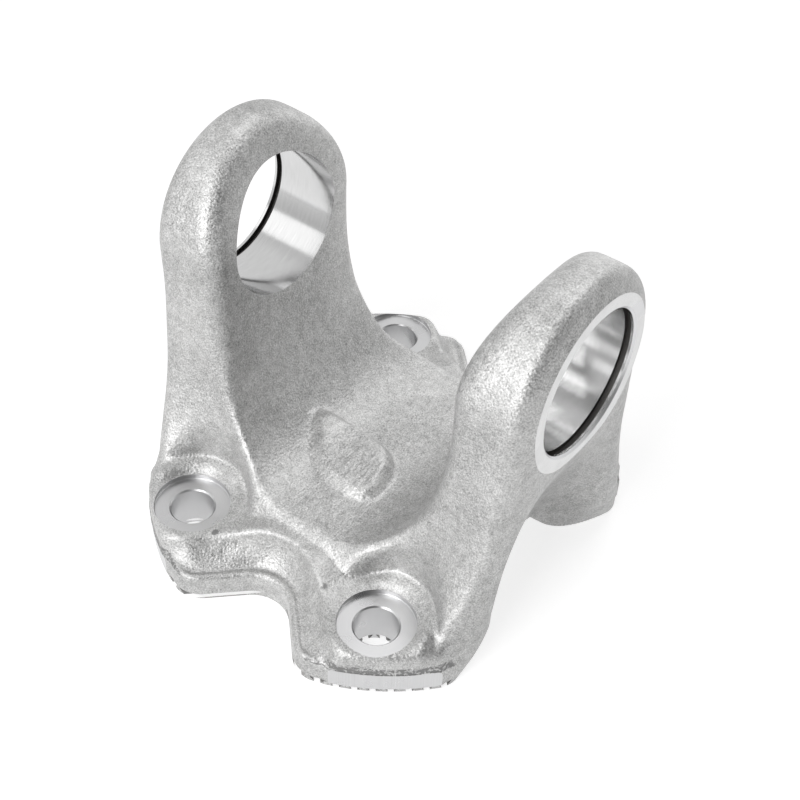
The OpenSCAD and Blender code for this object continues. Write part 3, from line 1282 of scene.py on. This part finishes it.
@dataclass(frozen=True)
class ShotBlasted:
    """The raw forging: pale grey steel with the sparkling grain of shot blasting.

    A scale is a number of features in a metre, a tone is the range that a
    pattern adds to the colour, and a bump is its strength and its height. The
    fine and the coarse grain go by the scale of the dents.
    """

    dark: Point = (0.24, 0.24, 0.238)
    light: Point = (0.84, 0.838, 0.832)
    metallic: float = 0.72
    rough: Pair = (0.38, 0.58)
    dent_scale: float = 1150.0
    dent_bump: Pair = (0.8, 0.0002)
    finer: float = 1.6
    finer_layers: float = 0.6
    fine_tone: Pair = (0.0, 0.7)
    fine_bump: Pair = (0.6, 0.00012)
    coarser: float = 3.5
    coarse_tone: Pair = (0.0, 0.2)
    coarse_bump: Pair = (0.5, 0.0004)
    cloud_scale: float = 45.0
    cloud_tone: Pair = (-0.05, 0.15)
    # A darker strip on the wall just over the rim's turned band: its radii, its heights and
    # fades, its ragged edge, and the noise that mottles how much darker it is.
    strip_r: Pair = (0.0877, 0.0883)
    strip_z: Pair = (0.0102, 0.0136)
    strip_fade: Pair = (0.0004, 0.0008)
    ragged: Pair = (420.0, 0.0012)
    strip_mottle_scale: float = 900.0
    strip_mottle: Pair = (0.42, 0.6)
    strip_mottle_tone: Pair = (1.1, 0.1)
    nicks: tuple[Point, ...] = (
        (0.0202, -0.0618, 0.021), (-0.0201, -0.0635, 0.0175), (-0.0268, -0.0667, 0.02))
    nick_size: Pair = (0.0006, 0.0016)
    creases: Point = (0.006, -0.024, 0.034)
    crease_reach: float = 0.021
    crease_core: float = 0.4
    crease_scale: float = 430.0
    crease_stretch: Point = (1.0, 0.25, 0.25)
    crease_bump: Pair = (0.55, 0.0008)

    def near(self, s: Shader, at: Point, inner: float, outer: float) -> Socket:
        """A round patch.

        Args:
            s: The material.
            at: Middle of the patch.
            inner: Distance within which it is 1.
            outer: Distance beyond which it is 0.

        Returns:
            The socket that holds it.
        """
        gap = s.add("ShaderNodeVectorMath", {0: s.place, 1: at},
                    operation="DISTANCE").outputs["Value"]
        return s.spread(gap, (inner, outer), (1.0, 0.0))

    def darker_strip(self, s: Shader) -> Socket:
        """A darker, mottled strip on the wall just over the rim's turned band, with ragged
        edges.

        Args:
            s: The material.

        Returns:
            The socket that holds it, 1 on the strip.
        """
        x, y, z = s.parts()
        scale, height = self.ragged
        ragged = s.math("ADD", z, s.math("MULTIPLY", s.noise(scale), height))
        (low, high), (fade_in, fade_out) = self.strip_z, self.strip_fade
        over = s.spread(ragged, (low, low + fade_in), (0.0, 1.0))
        under = s.spread(ragged, (high, high + fade_out), (1.0, 0.0))
        return s.math("MULTIPLY", s.spread(s.reach(x, y), self.strip_r, (0.0, 1.0)),
                      s.math("MULTIPLY", over, under))

    def tone(self, s: Shader, fine: Socket, coarse: Socket) -> Socket:
        """The steel's tone.

        Args:
            s: The material.
            fine: Noise of the fine grain.
            coarse: Noise of the coarse grain.

        Returns:
            The socket that holds it, 0 for the dark colour and 1 for the light.
        """
        tone = s.math("ADD", s.even(fine, self.fine_tone), s.even(coarse, self.coarse_tone))
        tone = s.math("ADD", tone, s.even(
            s.noise(self.cloud_scale, detail=3.0), self.cloud_tone))
        # Darkens a mottled strip on the wall just over the rim's turned band.
        strip_mottle = s.spread(s.noise(self.strip_mottle_scale, detail=1.0), self.strip_mottle, self.strip_mottle_tone)
        tone = s.math("SUBTRACT", tone, s.math("MULTIPLY", self.darker_strip(s), strip_mottle))
        for at in self.nicks:
            tone = s.math("SUBTRACT", tone, self.near(s, at, *self.nick_size))
        return tone

    def folds(self, s: Shader) -> Socket:
        """The wrinkles of the skin on the swelling's front.

        Args:
            s: The material.

        Returns:
            The socket that holds their height.
        """
        folds = s.noise(self.crease_scale, detail=1.0, at=s.stretched(self.crease_stretch))
        return s.math("MULTIPLY", folds, self.near(
            s, self.creases, self.crease_reach * self.crease_core, self.crease_reach))

    def material(self) -> bpy.types.Material:
        """Builds the material.

        Returns:
            The finished material.
        """
        s = Shader("shot_blasted_steel")
        dents = s.add("ShaderNodeTexVoronoi", {"Vector": s.place, "Scale": self.dent_scale},
                      feature="SMOOTH_F1").outputs["Distance"]
        fine = s.noise(self.dent_scale * self.finer, rough=self.finer_layers)
        coarse = s.noise(self.dent_scale / self.coarser)
        relief = None
        for height, bump in ((self.folds(s), self.crease_bump), (coarse, self.coarse_bump),
                             (dents, self.dent_bump), (fine, self.fine_bump)):
            relief = s.bump(height, *bump, relief)
        s.wire(Base_Color=s.shade(self.tone(s, fine, coarse), self.dark, self.light),
               Metallic=self.metallic, Roughness=s.even(fine, self.rough), Normal=relief)
        return s.material


@dataclass(frozen=True)
class Machined:
    """Turned, faced, honed or sawn steel with fine tool marks.

    The field surface says whose tool marks it has, and marks how many of them
    lie in a metre.
    """

    name: str
    surface: Surface
    tone: Point = (0.66, 0.66, 0.665)
    rough: float = 0.3
    marks: float = 4200.0
    strength: float = 0.12
    height: float = 0.0001
    honing: Point = (1.0, 0.03, 0.03)
    coarser: float = 4.0
    patches: float = 60.0
    dark_share: float = 0.86
    mark_tone: Pair = (0.0, 0.7)
    patch_tone: Pair = (0.0, 0.3)
    rough_share: Pair = (0.8, 1.25)

    def pattern(self, s: Shader) -> Socket:
        """The tool marks: rings round an axis, streaks along a bore, or grain.

        Args:
            s: The material.

        Returns:
            The socket that holds them.
        """
        if self.surface in (Surface.TURNED, Surface.FACED):
            return s.noise(self.marks, at=s.add(
                "ShaderNodeCombineXYZ", {0: s.radius(self.surface)}).outputs[0])
        if self.surface is Surface.HONED:
            return s.noise(self.marks, at=s.stretched(self.honing))
        return s.noise(self.marks / self.coarser)

    def material(self) -> bpy.types.Material:
        """Builds the material.

        Returns:
            The finished material.
        """
        s = Shader(self.name)
        marks, patch = self.pattern(s), s.noise(self.patches)
        darker = tuple(c * self.dark_share for c in self.tone)
        tone = s.math("ADD", s.even(marks, self.mark_tone), s.even(patch, self.patch_tone))
        low, high = self.rough_share
        s.wire(Base_Color=s.shade(tone, darker, self.tone), Metallic=1.0,
               Roughness=s.even(patch, (self.rough * low, self.rough * high)),
               Normal=s.bump(marks, self.strength, self.height))
        return s.material


class Finishes:
    """The finishes of the part, each made once."""

    _made: dict[Surface, bpy.types.Material] = {}

    @classmethod
    def get(cls, surface: Surface) -> bpy.types.Material:
        """Hands out the material of a surface.

        Args:
            surface: The surface.

        Returns:
            Its material, which the first call makes.
        """
        if not cls._made:
            cls._made = {
                Surface.RAW: ShotBlasted().material(),
                Surface.TURNED: Machined("turned_steel", Surface.TURNED).material(),
                Surface.HONED: Machined("honed_steel", Surface.HONED, (0.68, 0.68, 0.68),
                                        0.16, 5200.0, 0.08).material(),
                Surface.SAWN: Machined("serrated_steel", Surface.SAWN, (0.42, 0.415, 0.41),
                                       0.45).material(),
                Surface.FACED: Machined("faced_steel", Surface.FACED, (0.74, 0.74, 0.75),
                                        0.36).material(),
                Surface.GROOVED: Machined("grooved_steel", Surface.HONED, (0.16, 0.155, 0.15),
                                          0.5).material(),
            }
        return cls._made[surface]


# ---------------------------------------------------------------- the part


@dataclass
class DriveFlange:
    """The finished part: the forging with its machined faces cut in."""

    forging: Forging = field(default_factory=Forging)
    bores: EarBores = field(default_factory=EarBores)
    seats: BoltSeats = field(default_factory=BoltSeats)
    mating: MatingFace = field(default_factory=MatingFace)
    sharp: float = 32.0

    def build(self) -> bpy.types.Object:
        """Forges, machines and dresses the part.

        Returns:
            The part as one object at the origin.
        """
        part = linked("flange_forging", self.forging.mesh("flange_forging"))
        log.info("raw forging: %d faces", len(part.data.polygons))
        for group in (self.mating, self.seats, self.bores):
            for tool in group.tools():
                self.cut(part, tool)
        part.data.materials.clear()
        for surface in Surface:
            part.data.materials.append(Finishes.get(surface))
        self.sort_faces(part)
        return part

    def cut(self, part: bpy.types.Object, tool: bpy.types.Object) -> None:
        """Takes a tool's shape out of the part and removes the tool.

        Args:
            part: The forging.
            tool: A closed body.
        """
        modifier = part.modifiers.new("cut", "BOOLEAN")
        modifier.operation = "DIFFERENCE"
        modifier.solver = "MANIFOLD"
        modifier.object = tool
        mesh = mesh_of(part)
        part.modifiers.remove(modifier)
        before = len(part.data.polygons)
        old, part.data = part.data, mesh
        mesh.name = part.name
        bpy.data.meshes.remove(old)
        log.info("%s: %d faces become %d", tool.name, before, len(mesh.polygons))
        bpy.data.objects.remove(tool)

    def sort_faces(self, part: bpy.types.Object) -> None:
        """Gives each face its surface and splits the shading at machined edges.

        Args:
            part: The machined part, with one material slot for each surface.
        """
        mesh = part.data
        count = len(mesh.polygons)
        at = np.empty(count * 3)
        normal = np.empty(count * 3)
        mesh.polygons.foreach_get("center", at)
        mesh.polygons.foreach_get("normal", normal)
        at, normal = at.reshape(-1, 3) / MM, normal.reshape(-1, 3)
        kinds = np.zeros(count, np.int32)
        for group in (self.mating, self.seats, self.bores):
            found = group.kind(at, normal)
            kinds = np.where(found > 0, found, kinds)
        mesh.polygons.foreach_set("material_index", kinds)
        mesh.polygons.foreach_set("use_smooth", np.ones(count, bool))
        bm = bmesh.new()
        bm.from_mesh(mesh)
        limit = math.radians(self.sharp)
        for edge in bm.edges:
            faces = edge.link_faces
            if len(faces) != 2:
                continue
            a, b = faces
            edge.smooth = a.material_index == b.material_index and (
                a.material_index == Surface.RAW.value or edge.calc_face_angle(0.0) < limit)
        bm.to_mesh(mesh)
        bm.free()
        log.info("surfaces: %s", np.bincount(kinds, minlength=len(Surface)).tolist())


# ---------------------------------------------------------------- the shot


@dataclass(frozen=True)
class Lamp:
    """A square soft lamp that looks at the middle of the part, its power in watts."""

    name: str
    at: Point
    power: float
    size: float = 0.7
    aim: Point = (0.0, 0.0, 0.06)

    def light(self) -> None:
        """Adds the lamp to the scene."""
        data = bpy.data.lights.new(self.name, "AREA")
        data.shape = "SQUARE"
        data.size = self.size
        data.energy = self.power
        lamp = linked(self.name, data)
        lamp.location = self.at
        lamp.rotation_euler = (Vector(self.aim) - Vector(self.at)).to_track_quat(
            "-Z", "Y").to_euler()


@dataclass
class Studio:
    """Floor, lamps, world and camera. The camera's place is in millimetres."""

    lens: float = 64.895
    sensor: float = 36.0
    far: float = 20.0
    position: Point = (223.072, -305.551, 414.667)
    azimuth: float = 35.636
    elevation: float = 43.674
    roll: float = 2.934
    lamps: tuple[Lamp, ...] = (
        Lamp("front", (0.0, -1.32, 0.48), 10.0),
        Lamp("over_front", (0.0, -0.8, 1.2), 5.2),
        Lamp("over_back", (0.0, 0.52, 1.36), 3.8),
        Lamp("side", (-0.76, -0.76, 0.96), 1.4),
        Lamp("back", (-0.3, 1.34, 0.4), 1.8))
    ambient: float = 0.05
    dark_way: Point = (0.55, -0.6, 0.58)
    dark_reach: Pair = (0.1, 0.85)
    dark_tones: Pair = (0.9, 0.1)
    floor_half: float = 3.0
    floor_drop: float = 0.0002
    floor_tone: float = 0.5
    floor_rough: float = 0.9
    floor_shine: float = 0.1
    floor_glow: float = 0.78

    def camera(self) -> None:
        """Sets the camera at the photograph's viewing angle."""
        a, e, t = (math.radians(v) for v in (self.azimuth, self.elevation, self.roll))
        back = Vector((math.sin(a) * math.cos(e), -math.cos(a) * math.cos(e), math.sin(e)))
        right = Vector((math.cos(a), math.sin(a), 0.0))
        up = back.cross(right)
        across = right * math.cos(t) + up * math.sin(t)
        above = up * math.cos(t) - right * math.sin(t)
        data = bpy.data.cameras.new("camera")
        data.lens = self.lens
        data.sensor_width = self.sensor
        data.clip_end = self.far
        camera = linked("camera", data)
        x, y, z = (c * MM for c in self.position)
        camera.matrix_world = Matrix((
            (across.x, above.x, back.x, x),
            (across.y, above.y, back.y, y),
            (across.z, above.z, back.z, z),
            (0.0, 0.0, 0.0, 1.0)))
        bpy.context.scene.camera = camera

    def white(self, tree: bpy.types.NodeTree, gloss: Socket | None = None) -> Socket:
        """How much of the white background each kind of ray shows.

        Args:
            tree: The tree that the nodes go into.
            gloss: What glossy rays show instead of all of it.

        Returns:
            The socket that holds the share.
        """
        path = add_node(tree, "ShaderNodeLightPath")
        total, shiny = path.outputs["Is Camera Ray"], path.outputs["Is Glossy Ray"]
        if gloss is not None:
            shiny = add_node(tree, "ShaderNodeMath", {0: shiny, 1: gloss},
                             operation="MULTIPLY").outputs[0]
        for socket in (shiny, path.outputs["Is Transmission Ray"]):
            total = add_node(tree, "ShaderNodeMath", {0: total, 1: socket},
                             operation="MAXIMUM").outputs[0]
        return total

    def dark_side(self, tree: bpy.types.NodeTree) -> Socket:
        """What glossy rays show: a room that is darker towards its front right corner.

        Args:
            tree: The tree that the nodes go into.

        Returns:
            The socket that holds the brightness.
        """
        way = add_node(tree, "ShaderNodeTexCoord").outputs["Generated"]
        along = add_node(tree, "ShaderNodeVectorMath", {0: way, 1: self.dark_way},
                         operation="DOT_PRODUCT").outputs["Value"]
        return add_node(tree, "ShaderNodeMapRange", {
            "Value": along, "From Min": self.dark_reach[0], "From Max": self.dark_reach[1],
            "To Min": self.dark_tones[0], "To Max": self.dark_tones[1]},
            interpolation_type="SMOOTHSTEP").outputs[0]

    def world(self) -> None:
        """A world that shows white and lights the part softly."""
        world = bpy.data.worlds.new("studio")
        bpy.context.scene.world = world
        world.use_nodes = True
        tree = world.node_tree
        background = tree.nodes["Background"]
        background.inputs["Color"].default_value = (1.0, 1.0, 1.0, 1.0)
        strength = add_node(tree, "ShaderNodeMapRange", {
            "Value": self.white(tree, self.dark_side(tree)),
            "To Min": self.ambient, "To Max": 1.0})
        tree.links.new(strength.outputs[0], background.inputs["Strength"])

    def floor(self) -> None:
        """A pale floor that keeps a soft shadow."""
        bm = bmesh.new()
        bmesh.ops.create_grid(bm, x_segments=1, y_segments=1, size=self.floor_half)
        floor = object_of("floor", bm)
        floor.location.z = -self.floor_drop
        material = bpy.data.materials.new("pale_floor")
        material.use_nodes = True
        tree = material.node_tree
        main = tree.nodes["Principled BSDF"]
        main.inputs["Base Color"].default_value = (*[self.floor_tone] * 3, 1.0)
        main.inputs["Roughness"].default_value = self.floor_rough
        main.inputs["Specular IOR Level"].default_value = self.floor_shine
        main.inputs["Emission Color"].default_value = (1.0, 1.0, 1.0, 1.0)
        glow = add_node(tree, "ShaderNodeMath", {0: self.white(tree), 1: self.floor_glow},
                        operation="MULTIPLY")
        tree.links.new(glow.outputs[0], main.inputs["Emission Strength"])
        floor.data.materials.append(material)

    def build(self) -> None:
        """Sets everything round the part."""
        bpy.context.scene.view_settings.view_transform = "Standard"
        self.camera()
        self.world()
        self.floor()
        for lamp in self.lamps:
            lamp.light()
        log.info("studio: %d lamps", len(self.lamps))


def main() -> None:
    """Builds the part and the studio and hands them to the frame."""
    logging.basicConfig(level=logging.INFO, format="%(name)s: %(message)s")
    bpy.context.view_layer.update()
    part = DriveFlange().build()
    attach(part, "root")
    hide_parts("yoke")
    log.info("part: %d triangles", sum(len(p.vertices) - 2 for p in part.data.polygons))
    Studio().build()
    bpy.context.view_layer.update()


if __name__ == "__main__":
    main()
